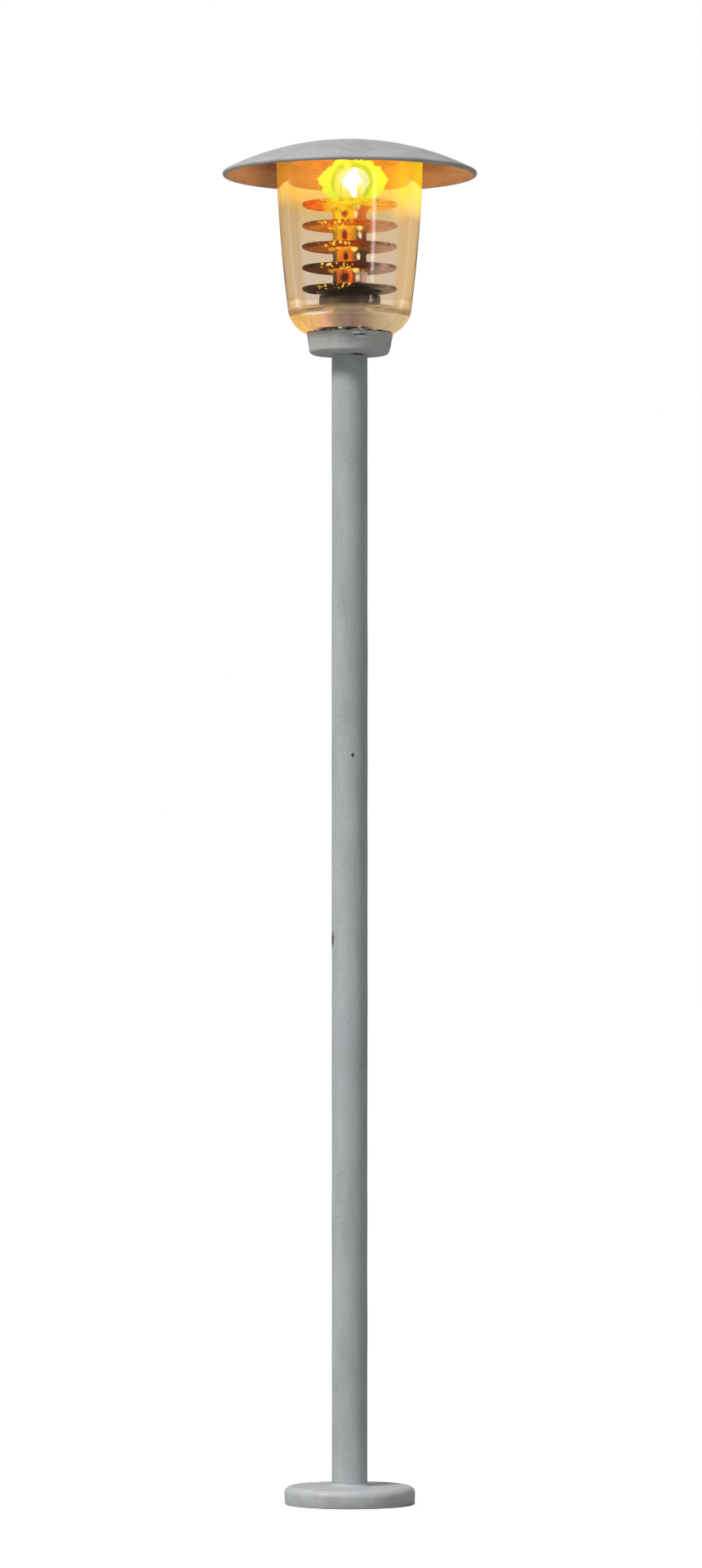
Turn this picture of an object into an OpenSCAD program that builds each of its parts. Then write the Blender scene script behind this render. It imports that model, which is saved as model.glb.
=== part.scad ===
// Model park lamp for a 1:87 railway layout: a round foot, a tubular mast and a lit head
// with a domed roof, a clear tapered glass and a louvre stack around a grain-of-wheat bulb.
// Millimetres, +Z up the mast, -Y is the front. The origin is the centre of the foot's underside.

/* [Foot] */
// Diameter of the foot disc
foot_d = 5.5; // [5:0.1:9]
// Thickness of the foot disc
foot_h = 0.77; // [0.6:0.01:1.5]
// Rounding of the disc's upper edge
foot_edge_r = 0.3; // [0.05:0.05:0.4]
// Diameter of the two pin holes behind the mast
pin_hole_d = 0.35; // [0.2:0.05:0.6]
// How far each pin hole lies to the side of the mast's axis, and behind it
pin_hole_offset = 1.45; // [1.3:0.05:1.5]

/* [Mast] */
// Height of the collar's top, where the glass stands
post_h = 48.95; // [20:0.05:80]
// Outer diameter of the mast tube
mast_d = 1.5; // [1.3:0.05:1.6]
// Bore of the mast tube, which takes the bulb's wires
mast_bore_d = 1.0; // [0.98:0.01:1.1]

/* [Collar] */
// Height of the collar under the glass
collar_h = 0.93; // [0.6:0.01:2]
// Diameter at the collar's top
collar_top_d = 3.64; // [3.4:0.02:3.7]
// Diameter at the collar's foot
collar_foot_d = 3.4; // [3:0.02:3.6]
// Rounding of the collar's lower edge
collar_edge_r = 0.2; // [0.05:0.05:0.3]
// Thickness of the bead of glue between collar and glass
glue_h = 0.04; // [0.02:0.01:0.1]

/* [Glass] */
// Height of the glass
glass_h = 7.35; // [7.2:0.05:7.35]
// Diameter of the glass at its rim
glass_rim_d = 6.14; // [6:0.02:6.2]
// Wall of the glass
glass_wall = 0.45; // [0.3:0.01:0.5]
// Thickness of the glass's floor
glass_floor_h = 0.92; // [0.5:0.01:0.95]
// Height at which the outside of the wall starts to turn into the underside
glass_arc_h = 1.16; // [1.12:0.01:1.2]
// Radius of the arc that turns the wall into the underside
glass_foot_arc_r = 1.32; // [1.26:0.02:1.5]

/* [Roof] */
// Diameter of the roof
roof_d = 10.7; // [9:0.1:12]
// Height of the roof's outer face above its rim
roof_rise = 1.3; // [1.2:0.01:1.3]
// Thickness of the roof's shell
roof_wall = 0.2; // [0.15:0.01:0.25]
// How far the locating ring reaches into the glass
spigot_h = 0.25; // [0.1:0.05:0.5]

/* [Louvres] */
// Outer diameter of a louvre ring
louvre_d = 4.0; // [3:0.1:4]
// Thickness of a louvre ring
louvre_h = 0.15; // [0.1:0.01:0.25]
// Distance from one ring to the next
louvre_pitch = 0.8875; // [0.5:0.0125:0.9]

/* [Bulb] */
// Outer diameter of the bulb
bulb_d = 1.24; // [1.2:0.02:1.84]
// Height of the bulb, from its seat to the tip of its dome
bulb_h = 5.82; // [5.5:0.02:6.4]
// Outer diameter of the bulb's holder
socket_d = 2.56; // [2.3:0.02:2.8]
// Height of the bulb's holder
socket_h = 0.81; // [0.6:0.01:0.9]

/* [Hidden] */
$fn = 96;
CUT = 1;              // how far a cutting tool runs past the face it cuts
RUNNING_GAP = 0.03;   // radial room between a pulled-out piece and its seat
EDGE_INSET = 0.02;    // how far a piece stays back from its neighbour's edge

louvre_count = 5;     // NODES names as many rings, and one spacer fewer

glass_z = post_h;                       // underside of the glass
glass_floor_z = glass_z + glass_floor_h;
glass_rim_z = glass_z + glass_h;
glass_rim_r = glass_rim_d / 2;
collar_top_z = glass_z - glue_h;
collar_z = glass_z - collar_h;

// the glass's wall leans and bows inward: its radius falls by lean * depth + bow * depth^2
glass_lean = 0.02;
glass_bow = 0.0088;
function glass_r(z) = let(depth = glass_rim_z - z)
    glass_rim_r - glass_lean * depth - glass_bow * depth * depth;

// the wall's outer line ends in an arc, and its inner line in a small corner on the floor
glass_arc_z = glass_z + glass_arc_h;
glass_arc_centre = [glass_r(glass_arc_z) - glass_foot_arc_r, glass_arc_z];
glass_arc_end = -asin(glass_arc_h / glass_foot_arc_r);
glass_corner_r = 0.15;
glass_corner_step = 0.03;               // the corner starts this far inside the wall's foot

// the socket stands on the glass's floor, over the tube's end, and the bulb on that end
mast_stub_h = 0.23;                     // how far the tube reaches above the glass's floor
mast_top_z = glass_floor_z + mast_stub_h;
socket_top_z = glass_floor_z + socket_h;
socket_lip = 0.12;                      // the lip's height, and how far it stands out
bulb_z = mast_top_z;
bulb_r = bulb_d / 2;
bulb_bore_r = bulb_r + RUNNING_GAP;
bulb_wall = 0.12;
bulb_dome_z = bulb_z + bulb_h - bulb_r;
bulb_stem_h = 0.7;

filament_z = bulb_dome_z;
filament_r = 0.09;
support_x = 0.35;
support_r = 0.05;
support_top_z = filament_z - filament_r;

solder_h = 0.3;
solder_r = 0.12;
solder_x = 0.3;
wire_tail_h = 0.6;    // how far the support wires reach below the bulb
solder_top_z = bulb_z - wire_tail_h;
lead_x = 0.25;
lead_r = 0.17;
lead_core_r = 0.08;
lead_foot_z = 0.4;
lead_top_z = solder_top_z - solder_h;
lead_strip = 0.2;     // bare end of each core, below its solder
sleeve_r = 0.48;
sleeve_wall = 0.05;
sleeve_h = 2.2;
sleeve_top_z = bulb_z - 0.05;

// the roof is a spherical shell with a half-round rim, just clear of the glass's rim
roof_clear = 0.08;
roof_r = roof_d / 2;
roof_sphere_r = (roof_r * roof_r + roof_rise * roof_rise) / (2 * roof_rise);
roof_centre_z = glass_rim_z + roof_clear
    - sqrt(pow(roof_sphere_r - roof_wall, 2) - glass_rim_r * glass_rim_r);
roof_rim_r = roof_r - roof_wall / 2;
roof_rim_angle = acos(roof_rim_r / (roof_sphere_r - roof_wall / 2));
// height of the middle of the roof's shell at a radius
function roof_shell_z(r) = roof_centre_z + sqrt(pow(roof_sphere_r - roof_wall / 2, 2) - r * r);
seat_ring_r = glass_rim_r - EDGE_INSET;
spigot_r = glass_rim_r - glass_wall - RUNNING_GAP;
spigot_wall = 0.2;

SIDES = [-1, 1];

// points along an arc, as [radius, height] pairs of a turned profile
function arc(centre, r, from, to, steps = 10) = [
    for (i = [0 : steps]) let(a = from + (to - from) * i / steps)
        centre + r * [cos(a), sin(a)]
];

module tube(r, bore_r, z, h) {
    translate([0, 0, z]) difference() {
        cylinder(r = r, h = h);
        translate([0, 0, -CUT]) cylinder(r = bore_r, h = h + 2 * CUT);
    }
}

// ---- foot, mast and collar ----

module foot_disc() {
    r = foot_d / 2;
    color([0.66, 0.67, 0.68]) difference() {
        rotate_extrude() polygon(concat(
            [[0, 0], [r, 0]],
            arc([r - foot_edge_r, foot_h - foot_edge_r], foot_edge_r, 0, 90, 6),
            [[0, foot_h]]
        ));
        translate([0, 0, -CUT]) cylinder(d = mast_d, h = foot_h + 2 * CUT);
        for (side = SIDES)
            translate([side * pin_hole_offset, pin_hole_offset, -CUT])
                cylinder(d = pin_hole_d, h = foot_h + 2 * CUT);
    }
}

module mast_tube() {
    color([0.62, 0.64, 0.65]) tube(mast_d / 2, mast_bore_d / 2, 0, mast_top_z);
}

module collar() {
    foot_r = collar_foot_d / 2;
    color([0.62, 0.63, 0.61]) rotate_extrude() polygon(concat(
        [[mast_d / 2, collar_z]],
        arc([foot_r - collar_edge_r, collar_z + collar_edge_r], collar_edge_r, -90, 0, 6),
        [[collar_top_d / 2, collar_top_z], [mast_d / 2, collar_top_z]]
    ));
}

module glue_bead() {
    color([0.78, 0.78, 0.74]) tube(collar_top_d / 2 - EDGE_INSET, mast_d / 2, collar_top_z, glue_h);
}

// ---- glass ----

function glass_wall_line(inset, low_z, steps = 10) = [
    for (i = [0 : steps]) let(z = low_z + (glass_rim_z - low_z) * i / steps)
        [glass_r(z) - inset, z]
];

module glass_shade() {
    outer = glass_wall_line(0, glass_arc_z);
    inner = glass_wall_line(glass_wall, glass_arc_z);
    corner_x = inner[0][0] - glass_corner_step - glass_corner_r;
    color([0.93, 0.83, 0.68, 0.35]) rotate_extrude() polygon(concat(
        [[mast_d / 2, glass_z]],
        arc(glass_arc_centre, glass_foot_arc_r, glass_arc_end, 0, 8),
        [for (i = [1 : len(outer) - 1]) outer[i]],
        [for (i = [len(inner) - 1 : -1 : 0]) inner[i]],
        arc([corner_x, glass_floor_z + glass_corner_r], glass_corner_r, 0, -90, 4),
        [[mast_d / 2, glass_floor_z]]
    ));
}

// ---- bulb and its wires ----

module bulb_socket() {
    color([0.45, 0.43, 0.40]) difference() {
        union() {
            translate([0, 0, glass_floor_z]) cylinder(d = socket_d, h = socket_h);
            translate([0, 0, socket_top_z - socket_lip])
                cylinder(d = socket_d + 2 * socket_lip, h = socket_lip);
        }
        translate([0, 0, glass_floor_z - CUT]) cylinder(d = mast_d, h = socket_h + CUT);
        translate([0, 0, bulb_z]) cylinder(r = bulb_bore_r, h = socket_h + CUT);
    }
}

module bulb_envelope() {
    inner_r = bulb_r - bulb_wall;
    color([1, 0.93, 0.62, 0.4]) rotate_extrude() polygon(concat(
        [[bulb_r, bulb_z]],
        arc([0, bulb_dome_z], bulb_r, 0, 90, 12),
        arc([0, bulb_dome_z], inner_r, 90, 0, 12),
        [[inner_r, bulb_z]]
    ));
}

module bulb_stem() {
    color([0.85, 0.85, 0.80, 0.6]) difference() {
        translate([0, 0, bulb_z]) cylinder(r = bulb_r - bulb_wall, h = bulb_stem_h);
        for (side = SIDES)
            translate([side * support_x, 0, bulb_z - CUT])
                cylinder(r = support_r, h = bulb_stem_h + 2 * CUT);
    }
}

module filament() {
    color([1, 0.97, 0.85]) translate([0, 0, filament_z]) rotate([0, 90, 0])
        cylinder(r = filament_r, h = 2 * (support_x + support_r), center = true);
}

module support_wire(side) {
    color([0.72, 0.42, 0.28]) translate([side * support_x, 0, solder_top_z])
        cylinder(r = support_r, h = support_top_z - solder_top_z);
}

module solder_joints() {
    color([0.75, 0.75, 0.76]) for (side = SIDES)
        translate([side * solder_x, 0, lead_top_z]) cylinder(r = solder_r, h = solder_h);
}

module insulating_sleeve() {
    color([0.20, 0.20, 0.20])
        tube(sleeve_r, sleeve_r - sleeve_wall, sleeve_top_z - sleeve_h, sleeve_h);
}

module lead_core(side) {
    color([0.80, 0.50, 0.30]) translate([side * lead_x, 0, lead_foot_z])
        cylinder(r = lead_core_r, h = lead_top_z - lead_foot_z);
}

module lead_insulation(side) {
    color(side < 0 ? [0.85, 0.85, 0.82] : [0.45, 0.28, 0.18])
        translate([side * lead_x, 0, 0])
            tube(lead_r, lead_core_r, lead_foot_z, lead_top_z - lead_strip - lead_foot_z);
}

// ---- louvre stack: ring 1 is the highest ----

function louvre_z(i) = socket_top_z + (louvre_count - i) * louvre_pitch;

module louvre(i) {
    edge = louvre_h / 2;
    color([0.38, 0.28, 0.20]) rotate_extrude() translate([0, louvre_z(i)]) polygon(concat(
        [[bulb_bore_r, 0]],
        arc([louvre_d / 2 - edge, edge], edge, -90, 90, 6),
        [[bulb_bore_r, louvre_h]]
    ));
}

// a clear bobbin that keeps ring i and the ring below it apart
module spacer(i) {
    h = louvre_pitch - louvre_h;
    waist_r = bulb_bore_r + 0.05;
    flare = 0.22;
    color([0.98, 0.66, 0.22, 0.6]) rotate_extrude()
        translate([0, louvre_z(i) - h]) polygon(concat(
            [[bulb_bore_r, 0]],
            [for (k = [0 : 8]) let(t = k / 8) [waist_r + flare * pow(2 * t - 1, 2), t * h]],
            [[bulb_bore_r, h]]
        ));
}

// ---- roof ----

module roof() {
    rim_centre = [0, roof_centre_z]
        + (roof_sphere_r - roof_wall / 2) * [cos(roof_rim_angle), sin(roof_rim_angle)];
    color([0.69, 0.69, 0.68]) {
        rotate_extrude() polygon(concat(
            arc([0, roof_centre_z], roof_sphere_r, 90, roof_rim_angle, 16),
            arc(rim_centre, roof_wall / 2, roof_rim_angle - 30, roof_rim_angle - 150, 5),
            arc([0, roof_centre_z], roof_sphere_r - roof_wall, roof_rim_angle, 90, 16)
        ));
        // flat seat on the glass's rim, with the ring that centres the roof in the glass
        rotate_extrude() polygon([
            [seat_ring_r, glass_rim_z], [seat_ring_r, roof_shell_z(seat_ring_r)],
            [spigot_r - spigot_wall, roof_shell_z(spigot_r - spigot_wall)],
            [spigot_r - spigot_wall, glass_rim_z - spigot_h],
            [spigot_r, glass_rim_z - spigot_h], [spigot_r, glass_rim_z]
        ]);
    }
}

foot_disc();
mast_tube();
collar();
glue_bead();
glass_shade();
bulb_socket();
bulb_envelope();
bulb_stem();
filament();
support_wire(-1);  // support_wire_left
support_wire(1);  // support_wire_right
solder_joints();
insulating_sleeve();
lead_core(-1);  // lead_core_left
lead_core(1);  // lead_core_right
lead_insulation(-1);  // lead_insulation_left
lead_insulation(1);  // lead_insulation_right
for (i = [1 : louvre_count])
    louvre(i);
for (i = [1 : louvre_count - 1])
    spacer(i);
roof();
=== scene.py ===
"""Looks of the model park lamp: painted mast and roof, clear glass, louvre stack and lit bulb."""
import math

import bmesh
import bpy
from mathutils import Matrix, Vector, noise


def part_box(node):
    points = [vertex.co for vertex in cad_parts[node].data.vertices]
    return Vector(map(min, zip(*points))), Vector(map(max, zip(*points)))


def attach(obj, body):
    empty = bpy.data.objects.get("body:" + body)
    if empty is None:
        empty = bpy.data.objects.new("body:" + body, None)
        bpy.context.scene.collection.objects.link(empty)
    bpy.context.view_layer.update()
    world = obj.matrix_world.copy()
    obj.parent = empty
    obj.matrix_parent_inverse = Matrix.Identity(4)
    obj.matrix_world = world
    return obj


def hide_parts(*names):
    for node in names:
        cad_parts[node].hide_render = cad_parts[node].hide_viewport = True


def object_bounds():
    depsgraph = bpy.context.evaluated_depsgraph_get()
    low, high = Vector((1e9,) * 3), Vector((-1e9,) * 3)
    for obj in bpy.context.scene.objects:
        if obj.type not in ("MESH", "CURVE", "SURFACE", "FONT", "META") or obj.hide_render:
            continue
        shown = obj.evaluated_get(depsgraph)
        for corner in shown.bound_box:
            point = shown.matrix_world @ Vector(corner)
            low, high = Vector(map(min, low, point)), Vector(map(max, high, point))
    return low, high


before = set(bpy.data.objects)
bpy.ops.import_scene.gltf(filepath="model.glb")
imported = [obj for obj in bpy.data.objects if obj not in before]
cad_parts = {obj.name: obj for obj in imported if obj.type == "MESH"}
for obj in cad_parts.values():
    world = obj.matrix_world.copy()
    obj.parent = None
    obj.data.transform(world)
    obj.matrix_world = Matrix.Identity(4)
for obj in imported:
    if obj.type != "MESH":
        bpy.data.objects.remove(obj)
cad_low, cad_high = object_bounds()

MM = 0.001
SEGMENTS = 128
PLASTIC_IOR = 1.49
BULB_GLASS_IOR = 1.04
LIT_STRENGTH = 1.4
RAY_SHARPNESS = 22
LAMP_HEIGHT = cad_high.z - cad_low.z

# the camera's place in lamp heights, its eye and aim above the floor, and its lens
CAMERA_DISTANCE = 4.52
EYE_HEIGHT = 0.384
AIM_HEIGHT = 0.5267
CAMERA_SIDE = 0.056 * MM
LENS = 141.5
SENSOR = 36

# studio light
KEY_AZIMUTH = -47
KEY_ELEVATION = 50
KEY_DISTANCE = 1.1
KEY_SIZE = 0.35
KEY_POWER = 10.8
STRIP_AZIMUTH = 40
STRIP_DISTANCE = 0.45
STRIP_POWER = 0.38
STRIP_SIZE = (0.05, 0.09)
STRIP_AIM = 0.9
BULB_POWER = 0.0012
BULB_COLOUR = (1.0, 0.56, 0.16)
FLOOR_R = 4000
AMBIENT = 0.36

# sub-part shapes, in millimetres
GLASS_WALL = 0.45
GLASS_LEAN = 0.02
GLASS_BOW = 0.0088
GLASS_FLOOR = 0.92
GLASS_ARC_HEIGHT = 1.16
GLASS_ARC_R = 1.32
GLASS_CORNER_R = 0.15
ROOF_RISE = 1.3
ROOF_WALL = 0.2
SPIGOT_WALL = 0.2
SPIGOT_DEPTH = 0.25
BULB_WALL = 0.12
MAST_BORE_R = 0.5
FOOT_EDGE_R = 0.3
PIN_OFFSET = 1.45
PIN_R = 0.175


# ---- places in the frame, in millimetres ----

def span(node):
    """Lowest height, highest height and outer radius of a turned CAD node about the mast's axis."""
    low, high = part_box(node)
    return low.z / MM, high.z / MM, (high.x - low.x) / 2 / MM


MAST_Z, MAST_TOP, MAST_R = span("mast_tube")
FOOT_Z, FOOT_TOP, FOOT_R = span("foot_disc")
COLLAR_Z, COLLAR_TOP, COLLAR_R = span("collar")
GLASS_Z, GLASS_RIM, GLASS_R = span("glass_shade")
SOCKET_Z, SOCKET_TOP, SOCKET_R = span("bulb_socket")
BULB_Z, BULB_TOP, BULB_R = span("bulb_envelope")
ROOF_TOP, ROOF_R = span("roof")[1:]
FILAMENT_Z = BULB_TOP - BULB_R
LOUVRES = range(1, 6)
RING_PLACES = (0.0, 0.22, 0.47, 0.72, 0.98)
SPACERS = range(1, 5)
RING_LOW = span("louvre_5")[0]
RING_HIGH = span("louvre_1")[1]
SPACER_MIDDLES = [sum(span(f"spacer_{i}")[:2]) / 2 for i in SPACERS]
SPACER_TOPS = [span(f"spacer_{i}")[1] for i in SPACERS]
PITCH = (SPACER_TOPS[0] - SPACER_TOPS[-1]) / (len(SPACERS) - 1)

# the core's rays: a direction and how much of the core's radius each adds
RAYS = (((0.3, 0, 1), 0.6), ((0.16, 0, -1), 0.9), ((1, 0.2, -0.05), 0.15), ((-0.5, -1, 0.3), 0.3),
        ((0.4, 1, -0.2), 0.3))
# the glow's balls: name, shape, reach in millimetres, lumps and their scale, shift to the right,
# squash, rays, inner and outer colour, strength and patches to the millimetre
GLOWS = [("glow_core", "star", 0.36, 0.16, 1.3, 0.1, 1.0, RAYS, (1.0, 1.0, 1.0), (0.9, 0.95, 1.0), 9.0, 1.6),
         ("glow_pale", "ball", 0.62, 0.1, 1.6, 0.2, 0.9, (), (0.64, 0.96, 1.0), (0.58, 0.94, 0.8), 1.2,
          2.4),
         ("glow_green", "ball", 0.88, 0.04, 1.4, 0.1, 0.98, (), (0.36, 0.76, 0.05), (0.46, 0.8, 0.03), 1.15,
          1.6),
         ("glow_yellow", "ball", 1.3, 0.2, 2.6, 0.14, 0.68, (), (0.56, 0.9, 0.07), (0.62, 0.85, 0.06), 1.4,
          1.9)]

# dark patches on the bobbins' fronts: how far to the side, half width, half height and colour
SHADOWS = [(-0.22, 0.16, 0.16, (0.45, 0.035, 0.012)), (-0.22, 0.15, 0.22, (0.3, 0.015, 0.01)),
           (-0.16, 0.11, 0.17, (0.006, 0.0, 0.0)), (-0.2, 0.2, 0.24, (0.012, 0.006, 0.004))]


# ---- mesh tools ----

def arc(centre, radius, start, end, steps=8):
    """Points along an arc of a turned profile, as (radius, height) pairs, with angles in degrees."""
    angles = [math.radians(start + (end - start) * i / steps) for i in range(steps + 1)]
    return [(centre[0] + radius * math.cos(a), centre[1] + radius * math.sin(a)) for a in angles]


def steps_between(start, end, count):
    """Points on a straight stretch of a profile, both ends left out."""
    return [
        (start[0] + (end[0] - start[0]) * i / count, start[1] + (end[1] - start[1]) * i / count)
        for i in range(1, count)
    ]


def shade(mesh, sharp):
    """Smooth shading with creases where faces meet at more than an angle in degrees."""
    mesh.shade_smooth()
    mesh.set_sharp_from_angle(angle=math.radians(sharp))


def finish_mesh(name, bm, sharp=40):
    """Turns a bmesh in millimetres into a smooth-shaded object in metres."""
    bmesh.ops.remove_doubles(bm, verts=bm.verts, dist=1e-5)
    bmesh.ops.recalc_face_normals(bm, faces=bm.faces)
    bmesh.ops.scale(bm, vec=(MM, MM, MM), verts=bm.verts)
    mesh = bpy.data.meshes.new(name)
    bm.to_mesh(mesh)
    bm.free()
    shade(mesh, sharp)
    made = bpy.data.objects.new(name, mesh)
    bpy.context.scene.collection.objects.link(made)
    return made


def turned(profile, closed=True, segments=SEGMENTS, warp=None):
    """A bmesh in millimetres of a profile turned round the mast's axis, each point moved by warp."""
    bm = bmesh.new()
    rings = []
    for r, z in profile:
        ring = []
        for k in range(segments):
            a = 2 * math.pi * k / segments
            point = Vector((r * math.cos(a), r * math.sin(a), z))
            ring.append(bm.verts.new(warp(point) if warp else point))
        rings.append(ring)
    pairs = list(zip(rings, rings[1:]))
    if closed:
        pairs.append((rings[-1], rings[0]))
    for low, high in pairs:
        for k in range(segments):
            n = (k + 1) % segments
            bm.faces.new((low[k], low[n], high[n], high[k]))
    return bm


def swept(points, radius, sides=10):
    """A bmesh in millimetres of a round wire along points, closed at both ends."""
    bm = bmesh.new()
    rings = []
    side = None
    for i, point in enumerate(points):
        ahead = points[min(i + 1, len(points) - 1)] - points[max(i - 1, 0)]
        ahead.normalize()
        if side is None:
            side = ahead.orthogonal().normalized()
        side = (side - ahead * side.dot(ahead)).normalized()
        other = ahead.cross(side)
        ring = []
        for k in range(sides):
            a = 2 * math.pi * k / sides
            ring.append(bm.verts.new(point + radius * (math.cos(a) * side + math.sin(a) * other)))
        rings.append(ring)
    for low, high in zip(rings, rings[1:]):
        for k in range(sides):
            n = (k + 1) % sides
            bm.faces.new((low[k], low[n], high[n], high[k]))
    bm.faces.new(rings[0])
    bm.faces.new(rings[-1])
    return bm


def join(bm, other):
    """Adds another bmesh's faces to bm."""
    scratch = bpy.data.meshes.new("scratch")
    other.to_mesh(scratch)
    other.free()
    bm.from_mesh(scratch)
    bpy.data.meshes.remove(scratch)
    return bm


def rough(amount, scale, seed=0.0):
    """A warp that moves a point in or out from the axis by smooth noise: hand paint and moulding."""
    offset = Vector((seed, seed * 0.7, -seed))

    def warp(point):
        outward = Vector((point.x, point.y, 0))
        if outward.length < 1e-6:
            return point
        return point + outward.normalized() * amount * noise.noise(point * scale + offset)

    return warp


# ---- material tools ----

def add(tree, kind, settings=None, **inputs):
    """Adds a shader node, sets its properties and sets or links its inputs."""
    made = tree.nodes.new("ShaderNode" + kind)
    for name, value in (settings or {}).items():
        setattr(made, name, value)
    for name, value in inputs.items():
        put(tree, made.inputs[name.replace("_", " ")], value)
    return made


def put(tree, socket, value):
    """Links a socket to an output or to a node's first output, or sets it to a plain value."""
    if isinstance(value, bpy.types.Node):
        value = value.outputs[0]
    if isinstance(value, bpy.types.NodeSocket):
        tree.links.new(value, socket)
    else:
        socket.default_value = value


def maths(tree, operation, a, b=0.0):
    """A maths node on one or two numbers or sockets."""
    made = add(tree, "Math", {"operation": operation})
    put(tree, made.inputs[0], a)
    put(tree, made.inputs[1], b)
    return made


def times(tree, *values):
    """The product of numbers or sockets."""
    product = values[0]
    for value in values[1:]:
        product = maths(tree, "MULTIPLY", product, value)
    return product


def blend(tree, factor, a, b, mode="MIX"):
    """A colour between a and b."""
    made = add(tree, "Mix", {"data_type": "RGBA", "blend_type": mode})
    put(tree, made.inputs[0], factor)
    put(tree, made.inputs[6], a)
    put(tree, made.inputs[7], b)
    return made.outputs[2]


def filtered(tree, a, b):
    """Colour a seen through colour b."""
    return blend(tree, 1.0, a, b, "MULTIPLY")


def mix_shaders(tree, share, a, b):
    """Shader a, with a share of shader b in its place."""
    made = add(tree, "MixShader")
    put(tree, made.inputs[0], share)
    put(tree, made.inputs[1], a)
    put(tree, made.inputs[2], b)
    return made


def add_shaders(tree, a, b):
    """The light of two shaders together."""
    made = add(tree, "AddShader")
    put(tree, made.inputs[0], a)
    put(tree, made.inputs[1], b)
    return made


def ramp(tree, factor, stops):
    """A colour ramp through (position, colour) stops, which are numbers or linear RGB."""
    made = add(tree, "ValToRGB")
    points = made.color_ramp.elements
    while len(points) < len(stops):
        points.new(1.0)
    for point, (place, colour) in zip(points, stops):
        rgb = (colour,) * 3 if isinstance(colour, (int, float)) else colour
        point.position = place
        point.color = (*rgb, 1)
    put(tree, made.inputs[0], factor)
    return made


def millimetres(tree, stretch=(1, 1, 1)):
    """The piece's own coordinates in millimetres, along each axis divided by stretch."""
    here = add(tree, "TexCoord").outputs["Object"]
    return add(tree, "Mapping", Vector=here, Scale=tuple(1 / MM / s for s in stretch))


def grain(tree, per_mm, detail, stretch=(1, 1, 1), roughness=0.55):
    """Noise with so many features to the millimetre, centred on 0.5."""
    return add(tree, "TexNoise", Vector=millimetres(tree, stretch), Scale=per_mm, Detail=detail,
               Roughness=roughness)


def along(tree, axis, low, high):
    """0 at one place along an axis in millimetres and 1 at another, in the piece's own frame."""
    parts = add(tree, "SeparateXYZ", Vector=millimetres(tree))
    return add(tree, "MapRange", Value=parts.outputs[axis], From_Min=low, From_Max=high)


def at_heights(tree, up, *colours):
    """A ramp through one colour at the middle of each louvre ring, lowest first."""
    return ramp(tree, up, list(zip(RING_PLACES, colours)))


def height_share(tree, low, high):
    """0 at one height in millimetres and 1 at another."""
    return along(tree, 2, low, high)


def smooth_step(tree, value, low, high):
    """0 where a value is low and 1 where it is high, easing between them."""
    return add(tree, "MapRange", {"interpolation_type": "SMOOTHSTEP"}, Value=value, From_Min=low,
               From_Max=high)


def across(tree, reach):
    """0 on the left of the axis at a reach in millimetres, and 1 as far on its right."""
    return along(tree, 0, -reach, reach)


def vector_maths(tree, operation, a, b=None):
    """A vector maths node on one or two vectors. A length comes out as a number."""
    made = add(tree, "VectorMath", {"operation": operation})
    put(tree, made.inputs[0], a)
    if b is not None:
        put(tree, made.inputs[1], b)
    return made.outputs["Value" if operation == "LENGTH" else "Vector"]


def from_axis(tree, low, high):
    """0 at one distance from the mast's axis in millimetres and 1 at another."""
    parts = add(tree, "SeparateXYZ", Vector=millimetres(tree)).outputs
    flat = add(tree, "CombineXYZ", X=parts[0], Y=parts[1])
    return smooth_step(tree, vector_maths(tree, "LENGTH", flat), low, high)


def patch(tree, centre, size, ragged=0.5):
    """1 in an uneven patch round a point and 0 outside it. size is its reach along each axis."""
    gap = vector_maths(tree, "SUBTRACT", millimetres(tree), centre)
    away = vector_maths(tree, "LENGTH", vector_maths(tree, "DIVIDE", gap, size))
    uneven = times(tree, maths(tree, "SUBTRACT", grain(tree, 6.5, 2.0), 0.5), 2 * ragged)
    return smooth_step(tree, maths(tree, "ADD", away, uneven), 1.3, 0.5)


def new_material(name):
    """An empty material and its node tree."""
    made = bpy.data.materials.new(name)
    made.use_nodes = True
    made.node_tree.nodes.clear()
    return made, made.node_tree


def finished(made, shader):
    """The material, showing a shader."""
    output = made.node_tree.nodes.new("ShaderNodeOutputMaterial")
    put(made.node_tree, output.inputs[0], shader)
    return made


def surfaced(made, colour, roughness, normal, **others):
    """The material, showing a surface with a colour, a roughness and a normal."""
    shader = add(made.node_tree, "BsdfPrincipled", Base_Color=colour, Roughness=roughness,
                 Normal=normal, **others)
    return finished(made, shader)


def bump(tree, height, distance, strength=1.0):
    """The surface's normal, tilted by a height whose whole range is a distance in millimetres."""
    return add(tree, "Bump", Height=height, Distance=distance * MM, Strength=strength)


def lamps_pass(tree, solid, tint):
    """The solid shader for what is seen, and plain tinted clearness for the light of lamps."""
    path = add(tree, "LightPath").outputs
    through = maths(tree, "MAXIMUM", path["Is Shadow Ray"], path["Is Diffuse Ray"])
    return mix_shaders(tree, through, solid, add(tree, "BsdfTransparent", Color=tint))


# ---- materials ----

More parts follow.
